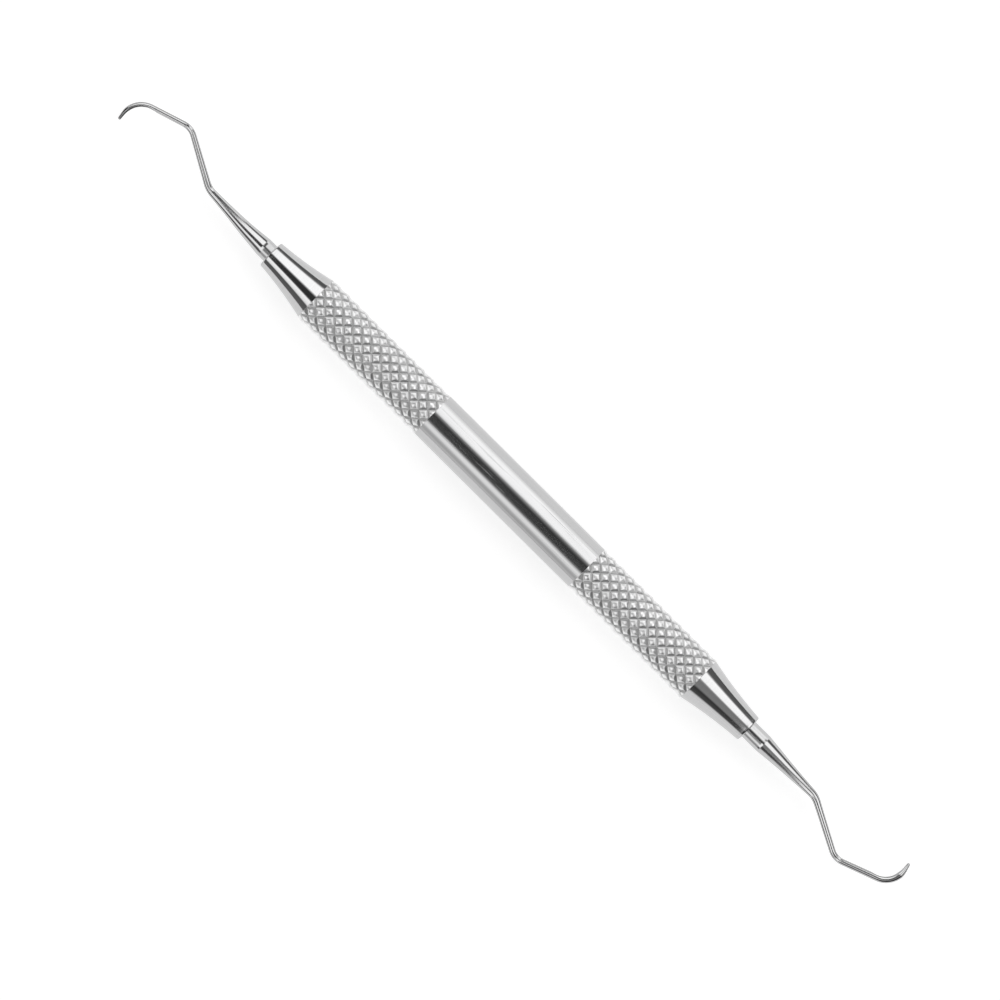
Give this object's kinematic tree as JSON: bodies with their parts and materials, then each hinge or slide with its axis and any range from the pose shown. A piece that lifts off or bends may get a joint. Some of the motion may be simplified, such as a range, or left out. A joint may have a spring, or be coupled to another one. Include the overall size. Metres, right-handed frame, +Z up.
{
  "type": "hand scaler",
  "caption": "Double-ended dental hand scaler: hollow steel handle with diamond-knurled grips, flared ferrules, bent tapered shanks and small curved blades.",
  "frame": {"origin": "on the handle's axis, in the middle of the smooth grip between the two knurled bands", "axes": "+X along the handle towards the right working end, +Y the way the right blade points, +Z up and square to the plane of both bent working ends"},
  "size_m": [0.1683, 0.0104, 0.008],
  "materials": {
    "handle_steel": "stainless steel tube, polished smooth grip between two diamond-knurled bands",
    "ferrule_steel": "turned stainless steel, polished bright",
    "shank_steel": "hardened stainless steel, ground and polished, with a finely ground blade face"
  },
  "bodies": {
    "root": {"handle_tube": "handle_steel", "left_ferrule": "ferrule_steel", "right_ferrule": "ferrule_steel", "left_working_end": "shank_steel", "right_working_end": "shank_steel"}
  },
  "joints": []
}
